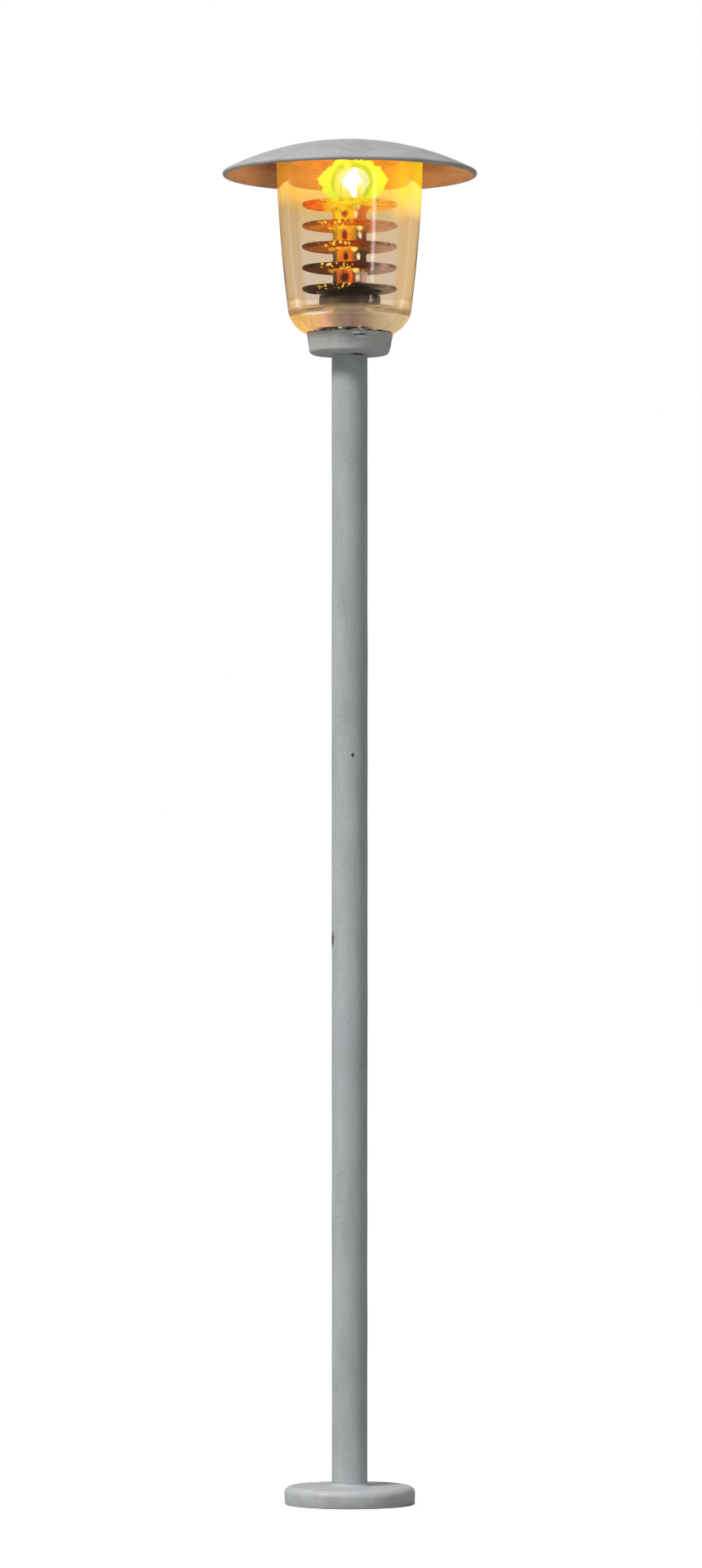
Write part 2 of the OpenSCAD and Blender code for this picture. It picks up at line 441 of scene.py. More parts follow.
def enamel(name, colour, stretch=(1, 1, 1), brush=0.0, marks=(), dull=1.0):
    """Hand-painted grey enamel: cloudy tone, fine grain, a few specks and brush marks.

    marks are flaws in the paint and painted highlights, as (centre, reaches, colour) in millimetres, and
    dull scales how rough it is."""
    made, tree = new_material(name)
    cloud = grain(tree, 0.9, 4.0, stretch)
    fine = grain(tree, 11.0, 4.0, roughness=0.65)
    hue = grain(tree, 0.8, 2.0, (1, 1, 3))
    light = tuple(min(1.0, c * 1.12) for c in colour)
    dark = tuple(c * 0.86 for c in colour)
    tone = ramp(tree, cloud, [(0.3, dark), (0.5, colour), (0.72, light)])
    tinted = blend(tree, ramp(tree, hue, [(0.45, 0.0), (0.7, 0.35)]), tone,
                   (colour[0] * 0.93, colour[1], colour[2] * 1.06, 1))
    grainy = filtered(tree, tinted, ramp(tree, fine, [(0.3, 0.9), (0.7, 1.1)]))
    specks = grain(tree, 5.2, 1.0, (1, 1, 1.6))
    shown = blend(tree, ramp(tree, specks, [(0.76, 0.0), (0.8, 0.4)]), grainy, (0.12, 0.12, 0.12, 1))
    for centre, reaches, mark_colour in marks:
        shown = blend(tree, patch(tree, centre, reaches), shown, (*mark_colour, 1))
    brushed = grain(tree, 1.4, 3.0, (1, 1, 0.12))
    relief = maths(tree, "ADD", times(tree, brushed, brush), fine)
    worn = ramp(tree, cloud, [(0.3, 0.62 * dull), (0.7, 0.5 * dull)])
    return surfaced(made, shown, worn, bump(tree, relief, 0.012 * dull), Specular_IOR_Level=0.35)


def roof_underside():
    """The inside of the roof: bare brass-coloured metal, in painted shade near the glass and on the left."""
    made, tree = new_material("roof_underside")
    spin = grain(tree, 1.6, 4.0, (1, 1, 0.3))
    fine = grain(tree, 9.0, 4.0)
    tone = ramp(tree, spin, [(0.3, (0.48, 0.22, 0.07)), (0.5, (0.66, 0.32, 0.105)),
                             (0.7, (0.78, 0.42, 0.155))])
    # painted shade darkens the metal near the glass, and painted light makes it paler towards the rim
    rim = from_axis(tree, 3.6, 4.9)
    tone = filtered(tree, tone, ramp(tree, rim, [(0.0, 0.52), (0.6, 0.8), (1.0, 1.0)]))
    tone = blend(tree, times(tree, rim, 0.4), tone, (0.85, 0.6, 0.36, 1))
    # painted shade in a patch on the left
    left_painted_shade = ramp(tree, across(tree, 5.0), [(0.06, 1.0), (0.16, 0.55), (0.26, 0.62), (0.36, 1.0)])
    tone = filtered(tree, tone, left_painted_shade)
    shown = filtered(tree, tone, ramp(tree, fine, [(0.3, 0.82), (0.7, 1.0)]))
    worn = ramp(tree, fine, [(0.3, 0.5), (0.7, 0.36)])
    return surfaced(made, shown, worn, bump(tree, spin, 0.02), Specular_IOR_Level=0.08)


def shade_glass():
    """Clear moulded plastic, tinted deeper towards its top, with painted glow of the bulb's light in its
    upper wall and its thick foot.
    """
    made, tree = new_material("shade_glass")
    up = height_share(tree, GLASS_Z, GLASS_RIM)
    place = across(tree, GLASS_R)
    cloud = grain(tree, 1.3, 3.0, (1, 1, 3))
    clear = clear_wall(tree, up)
    # painted glow: emission standing in for the bulb's light in the upper wall
    shine = add(tree, "Emission", Color=lit_rim(tree, up, place, cloud), Strength=1.0)
    lively = add_shaders(tree, clear, shine)
    # how much of the painted glow of the foot covers the glass, from its floor up
    foot_glow_share = ramp(tree, up, [(0.03, 0.84), (0.082, 0.82), (0.092, 0.2), (0.125, 0.14), (0.14, 0.0)])
    return finished(made, mix_shaders(tree, foot_glow_share, lively, painted_foot_glow(tree, up, place, cloud)))


def clear_wall(tree, up):
    """Tinted refraction with a faint mirror on it, deeper in colour where the wall is seen edge on, and
    there yellow near the top as painted light of the bulb.
    """
    tint = ramp(tree, up, [(0.0, (0.9, 0.842, 0.78)), (0.35, (0.9, 0.848, 0.78)),
                           (0.62, (0.91, 0.842, 0.73)), (0.78, (0.91, 0.8, 0.55)),
                           (0.93, (0.93, 0.8, 0.6))])
    flow = grain(tree, 0.7, 2.0, (1, 1, 2.5))
    fine = grain(tree, 6.0, 3.0)
    normal = bump(tree, flow, 0.02, 0.5)
    wear = ramp(tree, fine, [(0.3, 0.02), (0.7, 0.07)])
    facing = add(tree, "LayerWeight", Blend=0.3).outputs["Facing"]
    brim = ramp(tree, across(tree, GLASS_R), [(0.2, (0.81, 0.67, 0.48)), (0.8, (0.92, 0.74, 0.48))])
    # yellow edge-on colour near the top: painted light of the bulb
    brim = blend(tree, ramp(tree, up, [(0.68, 0.0), (0.82, 1.0)]), brim, (0.86, 0.77, 0.31, 1))
    brim = blend(tree, ramp(tree, up, [(0.12, 1.0), (0.21, 0.0)]), brim, (0.66, 0.53, 0.36, 1))
    deeper = blend(tree, ramp(tree, facing, [(0.27, 0.0), (0.37, 1.0)]), tint, brim)
    inside = add(tree, "BsdfRefraction", Color=deeper, Roughness=wear, IOR=PLASTIC_IOR, Normal=normal)
    leaving = add(tree, "NewGeometry").outputs["Backfacing"]
    thrown = blend(tree, leaving, (1, 1, 1, 1), (0.89, 0.79, 0.64, 1))
    mirror = add(tree, "BsdfGlossy", Color=thrown, Roughness=wear, Normal=normal)
    edge = add(tree, "Fresnel", IOR=PLASTIC_IOR, Normal=normal)
    outside = ramp(tree, edge, [(0.0, 0.0), (0.04, 0.008), (0.3, 0.04), (1.0, 0.12)])
    within = ramp(tree, edge, [(0.0, 0.0), (0.045, 0.006), (0.2, 0.2), (1.0, 1.0)])
    outside = times(tree, outside, ramp(tree, up, [(0.68, 1.0), (0.8, 0.25)]))
    share = blend(tree, leaving, outside, within)
    return lamps_pass(tree, mix_shaders(tree, share, inside, mirror), tint)


def lit_rim(tree, up, place, cloud):
    """The bulb's light in the upper wall: orange on the left, yellow streaks on the right."""
    band = maths(tree, "ADD", up, times(tree, maths(tree, "SUBTRACT", cloud, 0.5), 0.1))
    band = maths(tree, "ADD", band, ramp(tree, place, [(0.78, 0.0), (0.88, 0.07)]))
    lit = ramp(tree, band, [(0.705, 0.0), (0.775, 0.75), (0.86, 1.0)])
    orange = (0.23, 0.12, 0.01)
    yellow = (0.22, 0.22, 0.006)
    warm = ramp(tree, place, [(0.0, (0.14, 0.065, 0.014)), (0.3, (0.19, 0.09, 0.018)),
                              (0.5, (0.16, 0.09, 0.01)), (0.82, orange), (0.85, yellow),
                              (0.88, orange), (0.92, orange), (0.95, yellow)])
    return filtered(tree, warm, lit)


def floor_glint(tree, up):
    """A thin bright line where the glass's floor catches the light, on the left of its front."""
    line = ramp(tree, up, [(0.075, 0.0), (0.081, 1.0), (0.089, 1.0), (0.096, 0.0)])
    stretch = ramp(tree, across(tree, 2.4), [(0.08, 0.0), (0.14, 1.0), (0.26, 1.0), (0.36, 0.12),
                                             (0.8, 0.12), (0.9, 0.0)])
    front = along(tree, 1, 0.0, -0.6)
    return times(tree, line, stretch, front)


def painted_foot_glow(tree, up, place, cloud):
    """Painted glow filling the thick floor: orange on the left, tan on the right and in painted shade by the
    mast, with painted shadow and pale glue in the seam under it.
    """
    tone = ramp(tree, place, [(0.05, (0.84, 0.52, 0.16)), (0.2, (0.98, 0.56, 0.16)),
                              (0.33, (0.9, 0.46, 0.25)), (0.42, (0.42, 0.26, 0.15)),
                              (0.47, (0.36, 0.24, 0.18)), (0.52, (0.28, 0.15, 0.12)),
                              (0.6, (0.42, 0.27, 0.17)), (0.72, (0.66, 0.48, 0.27)),
                              (0.9, (0.78, 0.6, 0.32))])
    mottled = filtered(tree, tone, ramp(tree, cloud, [(0.34, 0.72), (0.62, 1.0)]))
    mottled = blend(tree, ramp(tree, up, [(0.086, 0.0), (0.096, 1.0)]), mottled, (0.58, 0.45, 0.28, 1))
    gaps = grain(tree, 3.2, 3.0, (1, 1, 0.5))
    seam = ramp(tree, up, [(0.0, 1.0), (0.004, 1.0), (0.01, 0.0)])
    stretch = ramp(tree, place, [(0.26, 0.0), (0.32, 1.0), (0.6, 1.0), (0.66, 0.0)])
    # black in the seam: painted shadow under the glass
    dark = times(tree, seam, stretch, ramp(tree, gaps, [(0.4, 0.0), (0.46, 1.0)]))
    shown = blend(tree, dark, mottled, (0.008, 0.007, 0.006, 1))
    # pale bits in the seam: glue
    pale = times(tree, seam, stretch, ramp(tree, gaps, [(0.34, 0.8), (0.38, 0.0)]))
    shown = blend(tree, pale, shown, (0.85, 0.85, 0.8, 1))
    shown = blend(tree, floor_glint(tree, up), shown, (0.95, 0.86, 0.66, 1))
    return add(tree, "Emission", Color=shown, Strength=1.08)


def lit_plastic(name, colour, clearness, glint_dots, roughness, streaks, dot_shape, sheen):
    """Clear plastic with a painted glow of the bulb's light and painted glint dots. colour, clearness and
    glint_dots are functions of the tree.
    """
    made, tree = new_material(name)
    tone = colour(tree)
    flow = grain(tree, 2.6, 3.0, streaks)
    shown = filtered(tree, tone, ramp(tree, flow, [(0.32, 0.5), (0.5, 0.85), (0.66, 1.0)]))
    # painted glints: bright yellow dots
    glint_spots = ramp(tree, grain(tree, 7.5, 1.0, dot_shape), [(0.55, 0.0), (0.61, 1.0)])
    shown = blend(tree, times(tree, glint_spots, glint_dots(tree)), shown, (1.0, 0.66, 0.08, 1))
    # painted glow: emission standing in for the bulb's light
    light = add(tree, "Emission", Color=shown, Strength=LIT_STRENGTH)
    gloss = add(tree, "BsdfGlossy", Color=(1, 1, 1, 1), Roughness=roughness, Normal=bump(tree, flow, 0.03))
    skin = mix_shaders(tree, sheen, light, gloss)
    clear = add(tree, "BsdfTransparent", Color=(1.0, 0.86, 0.66, 1))
    whole = mix_shaders(tree, clearness(tree), skin, clear)
    return finished(made, lamps_pass(tree, whole, (0.9, 0.7, 0.45, 1)))


def smoked_plastic():
    """The louvre rings: smoked clear plastic, in painted glow orange near the bulb and in painted shade
    nearly black below.
    """
    def colour(tree):
        up = height_share(tree, RING_LOW, RING_HIGH)
        # painted light and shade by height, darker on the left halves and paler on the right
        left = at_heights(tree, up, (0.034, 0.015, 0.006), (0.075, 0.022, 0.005), (0.34, 0.1, 0.018),
                          (0.58, 0.19, 0.02), (0.98, 0.2, 0.02))
        # painted tip colour: shade on the lower rings, orange light on the top one
        tip = times(tree, from_axis(tree, 1.55, 1.95), along(tree, 0, -0.4, -1.2), 0.6)
        painted_tip_tone = ramp(tree, up, [(0.0, (0.01, 0.004, 0.002)), (0.7, (0.1, 0.03, 0.012)),
                                (0.98, (0.75, 0.11, 0.02))])
        left = blend(tree, tip, left, painted_tip_tone)
        right = at_heights(tree, up, (0.23, 0.17, 0.125), (0.43, 0.26, 0.21), (0.46, 0.27, 0.2),
                           (0.56, 0.3, 0.17), (0.98, 0.5, 0.08))
        outer = blend(tree, across(tree, 1.0), left, right)
        # painted glow round the bore, hottest by the bulb
        inner = ramp(tree, up, [(0.0, (0.004, 0.002, 0.001)), (0.2, (0.05, 0.01, 0.003)),
                                (0.47, (0.36, 0.05, 0.005)), (0.72, (0.66, 0.13, 0.008)),
                                (0.88, (0.8, 0.3, 0.01)), (0.98, (0.98, 0.92, 0.04))])
        middle = ramp(tree, across(tree, 1.6), [(0.12, 0.0), (0.3, 1.0), (0.66, 1.0), (0.85, 0.0)])
        tone = blend(tree, middle, outer, inner)
        # painted shade right of the middle on the lower rings
        painted_shade = ramp(tree, across(tree, 1.6), [(0.58, 0.0), (0.66, 0.75), (0.78, 0.6), (0.92, 0.0)])
        painted_shade = times(tree, painted_shade, ramp(tree, up, [(0.5, 1.0), (0.72, 0.4), (0.9, 0.0)]))
        painted_shade_tone = ramp(tree, up, [(0.0, (0.01, 0.006, 0.004)), (0.47, (0.09, 0.03, 0.016)),
                               (0.72, (0.4, 0.08, 0.02))])
        tone = blend(tree, painted_shade, tone, painted_shade_tone)
        # a dark line along the front of the rim, broken up by noise and fading up the stack
        worn = ramp(tree, grain(tree, 2.6, 2.0, (1.6, 1, 1)), [(0.44, 0.1), (0.6, 1.0)])
        fading = ramp(tree, up, [(0.0, 0.7), (0.5, 0.5), (0.72, 0.2)])
        edge = times(tree, from_axis(tree, 1.93, 1.97), along(tree, 1, 0.0, -0.8), worn, fading)
        return blend(tree, edge, tone, (0.05, 0.025, 0.015, 1))

    def clearness(tree):
        haze = ramp(tree, grain(tree, 2.0, 2.0), [(0.35, 0.0), (0.65, 0.3)])
        behind = along(tree, 1, -0.4, 0.9)
        high = ramp(tree, height_share(tree, RING_LOW, RING_HIGH), [(0.1, 0.0), (0.5, 1.0)])
        return times(tree, haze, behind, high)

    # painted glints across the front middle
    def glint_dots(tree):
        stretch = ramp(tree, across(tree, 1.6), [(0.08, 0.0), (0.16, 1.0), (0.48, 1.0), (0.56, 0.0)])
        return times(tree, stretch, along(tree, 1, -0.5, -0.9))

    return lit_plastic("smoked_louvre", colour, clearness, glint_dots, 0.22, (1, 1, 1), (1, 6, 1), 0.01)


def far_side(tree, rise):
    """The right of each bobbin, in painted light and shade: pale between a dark wedge of painted shade below
    it and a red painted shade above.
    """
    level = maths(tree, "FRACT", maths(tree, "DIVIDE", along(tree, 2, RING_LOW, RING_LOW + 1), PITCH))
    uneven = maths(tree, "SUBTRACT", grain(tree, 3.4, 2.0), 0.5)
    level = maths(tree, "ADD", level, times(tree, uneven, 0.3))
    pale = ramp(tree, rise, [(0.0, (0.56, 0.38, 0.3)), (0.14, (0.38, 0.22, 0.14)),
                             (0.46, (0.95, 0.4, 0.11)), (1.0, (1.0, 0.42, 0.12))])
    dark = ramp(tree, rise, [(0.0, (0.035, 0.018, 0.012)), (0.14, (0.06, 0.025, 0.015)),
                             (0.46, (0.22, 0.07, 0.03)), (1.0, (0.8, 0.22, 0.05))])
    deep = ramp(tree, rise, [(0.0, (0.16, 0.07, 0.04)), (0.5, (0.6, 0.12, 0.04)),
                             (1.0, (0.72, 0.17, 0.05))])
    tone = blend(tree, ramp(tree, level, [(0.3, 1.0), (0.42, 0.0)]), pale, dark)
    tone = blend(tree, ramp(tree, level, [(0.86, 0.0), (0.94, 1.0)]), tone, deep)
    line = ramp(tree, across(tree, 0.92), [(0.74, 0.0), (0.75, 0.6), (0.76, 0.6), (0.77, 0.0)])
    return blend(tree, line, tone, dark)


def spacer_painted_glow():
    """The clear bobbins round the bulb, in painted glow of its light: yellow at the top, deep red below,
    with painted shade patches and painted glints.
    """
    def colour(tree):
        up = height_share(tree, RING_LOW, RING_HIGH)
        place = across(tree, 0.92)
        # painted glow by height: yellow above, red and dark below
        upper = ramp(tree, place, [(0.0, (0.45, 0.12, 0.01)), (0.14, (0.8, 0.32, 0.01)),
                                   (0.22, (1.0, 0.72, 0.03)), (0.42, (1.0, 0.68, 0.03)),
                                   (0.64, (1.0, 0.5, 0.02)), (0.72, (0.8, 0.2, 0.02))])
        lower = ramp(tree, place, [(0.08, (0.06, 0.03, 0.02)), (0.19, (0.1, 0.04, 0.02)),
                                   (0.25, (0.86, 0.19, 0.02)), (0.34, (0.7, 0.075, 0.012)),
                                   (0.53, (0.9, 0.14, 0.014)), (0.59, (0.16, 0.03, 0.012)),
                                   (0.67, (0.22, 0.14, 0.12)), (0.75, (0.1, 0.06, 0.05))])
        rise = ramp(tree, up, [(0.12, 0.0), (0.4, 0.14), (0.62, 0.46), (0.86, 1.0)])
        tone = blend(tree, rise, lower, upper)
        tone = blend(tree, ramp(tree, place, [(0.6, 0.0), (0.68, 1.0)]), tone, far_side(tree, rise))
        # painted glow on the flares
        flare = from_axis(tree, 0.76, 0.86)
        hot = blend(tree, ramp(tree, up, [(0.1, 0.0), (0.8, 1.0)]), (0.55, 0.12, 0.015, 1),
                    (1.0, 0.58, 0.02, 1))
        left = ramp(tree, place, [(0.5, 1.0), (0.7, 0.15)])
        tone = blend(tree, times(tree, flare, left), tone, hot)
        for height, (side, wide, high, dark) in zip(SPACER_MIDDLES, SHADOWS):
            spot = patch(tree, (side, -0.68, height), (wide, 0.6, high))
            tone = blend(tree, times(tree, spot, 0.95), tone, (*dark, 1))
        # pale patches: painted glints
        for height, side in zip(SPACER_MIDDLES, (0.26, 0.42, 0.36, 0.32)):
            spot = patch(tree, (side, -0.6, height), (0.08, 0.6, 0.16), 0.6)
            tone = blend(tree, spot, tone, (1.0, 0.86, 0.62, 1))
        # yellow patches near the tops of the flares: painted glints
        for height, side in zip(SPACER_TOPS, (0.3, 0.42, 0.2, 0.27)):
            spot = patch(tree, (side, -0.8, height - 0.08), (0.14, 0.4, 0.11), 0.2)
            tone = blend(tree, spot, tone, (1.0, 0.9, 0.2, 1))
        return tone

    def clearness(tree):
        return ramp(tree, grain(tree, 2.2, 2.0, (1, 1, 2)), [(0.35, 0.0), (0.65, 0.12)])

    # painted glints on the flares' left
    def glint_dots(tree):
        return times(tree, from_axis(tree, 0.74, 0.84), across(tree, -0.6))

    return lit_plastic("spacer_painted_glow", colour, clearness, glint_dots, 0.12, (0.6, 0.6, 1.6), (1, 1, 1), 0.02)


def bulb_glass():
    """Thin clear glass, with a painted glow of the filament's light fading down the tube."""
    made, tree = new_material("bulb_glass")
    up = height_share(tree, BULB_Z, BULB_TOP)
    glass = add(tree, "BsdfGlass", Color=(1.0, 0.96, 0.86, 1), Roughness=0.02, IOR=BULB_GLASS_IOR)
    body = lamps_pass(tree, glass, (1, 1, 1, 1))
    # painted glow: emission standing in for the filament's light in the glass
    tone = ramp(tree, up, [(0.0, (0.1, 0.03, 0.01)), (0.6, (0.5, 0.15, 0.01)),
                           (0.84, (0.8, 0.9, 0.3)), (0.93, (0.75, 0.95, 0.7))])
    light = add(tree, "Emission", Color=tone, Strength=1.8)
    cloud = grain(tree, 2.4, 2.0)
    share = times(tree, ramp(tree, up, [(0.0, 0.12), (0.7, 0.3), (0.9, 0.2)]),
                  ramp(tree, cloud, [(0.3, 0.75), (0.7, 1.0)]))
    return finished(made, mix_shaders(tree, share, body, light))


def glow(name, inner, outer, strength, patches):
    """Light hanging round the filament. Only the far side of its ball shines, behind what it holds."""
    made, tree = new_material(name)
    cloud = grain(tree, patches, 2.0)
    tone = ramp(tree, cloud, [(0.36, outer), (0.62, inner)])
    light = add(tree, "Emission", Color=tone, Strength=strength)
    clear = add(tree, "BsdfTransparent", Color=(1, 1, 1, 1))
    near_side = add(tree, "NewGeometry").outputs["Backfacing"]
    hidden = maths(tree, "MAXIMUM", near_side, add(tree, "LightPath").outputs["Is Shadow Ray"])
    return finished(made, mix_shaders(tree, hidden, light, clear))


def hot_wire():
    """Glowing tungsten, white hot with slightly cooler turns."""
    made, tree = new_material("hot_tungsten")
    turns = grain(tree, 9.0, 1.0)
    tone = ramp(tree, turns, [(0.3, (1.0, 0.86, 0.55)), (0.7, (1.0, 1.0, 0.95))])
    light = add(tree, "Emission", Color=tone, Strength=6.0)
    return finished(made, light)


def metal(name, colour, roughness, lit=(0, 0, 0)):
    """Drawn or soldered metal, scratched along its length and a little uneven. lit is a painted glow, added
    as emission.
    """
    made, tree = new_material(name)
    streak = grain(tree, 12.0, 3.0, (1, 1, 6))
    dark = tuple(c * 0.6 for c in colour)
    tone = ramp(tree, streak, [(0.3, dark), (0.65, colour)])
    worn = ramp(tree, streak, [(0.3, roughness * 1.3), (0.7, roughness * 0.8)])
    shine = {"Emission_Color": (*lit, 1), "Emission_Strength": 1.0} if any(lit) else {}
    return surfaced(made, tone, worn, bump(tree, streak, 0.004), Metallic=0.9, **shine)


def plastic(name, colour, roughness):
    """Moulded or extruded plastic with a faint mottle and a satin surface."""
    made, tree = new_material(name)
    mottle = grain(tree, 1.8, 4.0)
    fine = grain(tree, 8.0, 3.0)
    dark = tuple(c * 0.72 for c in colour)
    light = tuple(min(1.0, c * 1.15) for c in colour)
    tone = ramp(tree, mottle, [(0.3, dark), (0.55, colour), (0.75, light)])
    worn = ramp(tree, fine, [(0.3, roughness * 1.25), (0.7, roughness * 0.8)])
    return surfaced(made, tone, worn, bump(tree, fine, 0.006))


def socket_plastic():
    """The bulb holder: grey plastic, in painted shade black at its top under the lowest louvre ring and
    darker in its middle, paler at its sides.
    """
    made, tree = new_material("socket_grey")
    up = height_share(tree, SOCKET_Z, SOCKET_TOP)
    # painted shade: darker in the middle, paler at the sides
    sides = ramp(tree, across(tree, SOCKET_R), [(0.06, 0.3), (0.2, 0.75), (0.42, 0.3), (0.62, 0.26),
                                                (0.85, 0.85)])
    mottle = grain(tree, 2.6, 3.0, (1, 1, 2.5))
    tone = ramp(tree, mottle, [(0.3, (0.2, 0.18, 0.17)), (0.7, (0.36, 0.35, 0.35))])
    tone = filtered(tree, tone, sides)
    # painted shade: black at the top, under the lowest louvre ring
    painted_shade = ramp(tree, up, [(0.35, 0.0), (0.6, 1.0)])
    tone = blend(tree, painted_shade, tone, (0.012, 0.008, 0.006, 1))
    worn = ramp(tree, mottle, [(0.3, 0.5), (0.7, 0.3)])
    return surfaced(made, tone, worn, bump(tree, mottle, 0.006), Specular_IOR_Level=0.3)


def glue():
    """The seam under the glass: pale dried glue, with black painted shadow in the gaps between its lumps."""
    made, tree = new_material("glue")
    clots = grain(tree, 2.6, 3.0, (1, 1, 0.4))
    fine = grain(tree, 14.0, 3.0)
    # black where the lumps part: painted shadow under the glass
    tone = ramp(tree, clots, [(0.42, (0.012, 0.011, 0.01)), (0.5, (0.3, 0.29, 0.26)),
                              (0.6, (0.72, 0.71, 0.66))])
    worn = ramp(tree, fine, [(0.3, 0.7), (0.7, 0.35)])
    return surfaced(made, tone, worn, bump(tree, clots, 0.03))


# ---- pieces ----

def hand_over(piece, material, body, slot, *nodes):
    """Gives a piece its body and, if any, its material, and hides the CAD nodes it stands for. slot is not
    used.
    """
    if material:
        piece.data.materials.append(material)
    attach(piece, body)
    if nodes:
        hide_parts(*nodes)
    return piece


def make_foot(paint):
    """Foot disc: soft upper edge, paint built up round the mast, and two open pin holes."""
    meniscus = 0.16
    profile = [(MAST_R - 0.02, FOOT_Z)]
    profile += arc((FOOT_R - 0.08, FOOT_Z + 0.06), 0.06, -90, -20, 4)
    profile += arc((FOOT_R - FOOT_EDGE_R, FOOT_TOP - FOOT_EDGE_R), FOOT_EDGE_R, 0, 90, 10)
    profile += arc((MAST_R + meniscus, FOOT_TOP + meniscus), meniscus, -90, -176, 6)
    profile += [(MAST_R - 0.02, FOOT_TOP + meniscus)]
    wobble = rough(0.012, 0.55, 3.0)

    def warp(point):
        inside = point.length < MAST_R + meniscus
        return point if inside or point.z <= FOOT_Z + 1e-6 else wobble(point) * 0.997

    made = finish_mesh("foot_disc_painted", turned(profile, warp=warp), 50)
    for side in (-1, 1):
        cutter = finish_mesh("pin_cutter", pin_cutter(side))
        hole = made.modifiers.new("pin_hole", "BOOLEAN")
        hole.operation = "DIFFERENCE"
        hole.solver = "EXACT"
        hole.object = cutter
        bpy.context.view_layer.objects.active = made
        bpy.ops.object.modifier_apply(modifier=hole.name)
        bpy.data.objects.remove(cutter)
    shade(made.data, 50)
    return hand_over(made, paint, "mast", "post_enamel", "foot_disc")


def pin_cutter(side):
    """A pin hole's cutter, with a countersunk mouth where the paint has shrunk back."""
    top = FOOT_TOP + 0.2
    profile = [(0, FOOT_Z - 0.2), (PIN_R, FOOT_Z - 0.2), (PIN_R, FOOT_TOP - 0.05),
               (PIN_R + 0.05, FOOT_TOP), (PIN_R + 0.08, top), (0, top)]
    bm = turned(profile, closed=False, segments=32)
    bmesh.ops.translate(bm, vec=(side * PIN_OFFSET, PIN_OFFSET, 0), verts=bm.verts)
    return bm


def make_mast(paint):
    """Mast tube: open bore, eased ends and the slight waviness of hand paint."""
    ease = 0.03
    low = (MAST_R, MAST_Z + ease)
    high = (MAST_R, MAST_TOP - ease)
    profile = [(MAST_BORE_R, MAST_Z), (MAST_R - ease, MAST_Z), low]
    profile += steps_between(low, high, 180)
    profile += [high, (MAST_R - ease, MAST_TOP), (MAST_BORE_R, MAST_TOP)]
    wobble = rough(0.012, 0.5, 8.0)

    def warp(point):
        outside = math.hypot(point.x, point.y) > MAST_BORE_R + 0.1
        return wobble(point) if outside else point

    made = finish_mesh("mast_tube_painted", turned(profile, segments=72, warp=warp), 40)
    return hand_over(made, paint, "mast", "post_enamel", "mast_tube")


def make_collar(paint):
    """Collar: tapered ring with soft, uneven edges; the pale dabs in its paint are painted highlight on a
    lump of paint.
    """
    foot_r = COLLAR_R - 0.12
    edge = 0.2
    lip = 0.05
    profile = [(MAST_R - 0.02, COLLAR_Z)]
    profile += arc((foot_r - edge, COLLAR_Z + edge), edge, -90, 0, 8)
    top = (COLLAR_R, COLLAR_TOP - lip)
    profile += steps_between((foot_r, COLLAR_Z + edge), top, 6)
    profile += arc((COLLAR_R - lip, COLLAR_TOP - lip), lip, 0, 90, 4)
    profile += [(MAST_R - 0.02, COLLAR_TOP)]
    wide = rough(0.05, 0.9, 1.0)
    fine = rough(0.02, 3.2, 5.0)

    def warp(point):
        if math.hypot(point.x, point.y) < MAST_R + 0.05:
            return point
        moved = fine(wide(point))
        return Vector((moved.x * 0.985, moved.y * 0.985, point.z))

    made = finish_mesh("collar_painted", turned(profile, warp=warp), 50)
    return hand_over(made, paint, "mast", "post_enamel", "collar")


def make_glue(material):
    """Glue bead: an uneven squeezed line of glue between collar and glass."""
    low, high, reach = span("glue_bead")
    profile = [(MAST_R, low)]
    profile += arc((reach - 0.02, (low + high) / 2), (high - low) / 2, -90, 90, 4)
    profile += [(MAST_R, high)]

    def warp(point):
        outward = Vector((point.x, point.y, 0))
        if outward.length < reach - 0.3:
            return point
        push = 0.05 * noise.noise(point * 2.2) + 0.02 * noise.noise(point * 9)
        return point + outward.normalized() * push

    made = finish_mesh("glue_bead_squeezed", turned(profile, warp=warp), 60)
    return hand_over(made, material, "mast", "glue", "glue_bead")


def glass_r(z):
    """The glass's outer radius at a height."""
    depth = GLASS_RIM - z
    return GLASS_R - GLASS_LEAN * depth - GLASS_BOW * depth * depth


def make_glass(material):
    """Glass: a tapered cup with a thick rounded foot, a flat floor and an eased rim."""
    ease = 0.05
    arc_z = GLASS_Z + GLASS_ARC_HEIGHT
    rows = 28
    heights = [arc_z + (GLASS_RIM - ease - arc_z) * i / rows for i in range(rows + 1)]
    end = -math.degrees(math.asin(GLASS_ARC_HEIGHT / GLASS_ARC_R))
    centre = (glass_r(arc_z) - GLASS_ARC_R, arc_z)
    floor_z = GLASS_Z + GLASS_FLOOR
    corner_x = glass_r(arc_z) - GLASS_WALL - 0.03 - GLASS_CORNER_R
    profile = [(MAST_R, GLASS_Z), ((MAST_R + centre[0]) / 2, GLASS_Z)]
    profile += arc(centre, GLASS_ARC_R, end, 0, 14)[:-1]
    profile += [(glass_r(z), z) for z in heights]
    profile += arc((GLASS_R - ease, GLASS_RIM - ease), ease, 30, 90, 3)
    profile += arc((GLASS_R - GLASS_WALL + ease, GLASS_RIM - ease), ease, 90, 150, 3)
    profile += [(glass_r(z) - GLASS_WALL, z) for z in reversed(heights)]
    profile += arc((corner_x, floor_z + GLASS_CORNER_R), GLASS_CORNER_R, 0, -90, 6)
    profile += [(MAST_R + 0.3, floor_z), (MAST_R, floor_z)]
    made = finish_mesh("glass_shade_clear", turned(profile, segments=160), 35)
    return hand_over(made, material, "mast", "clear_shade", "glass_shade")


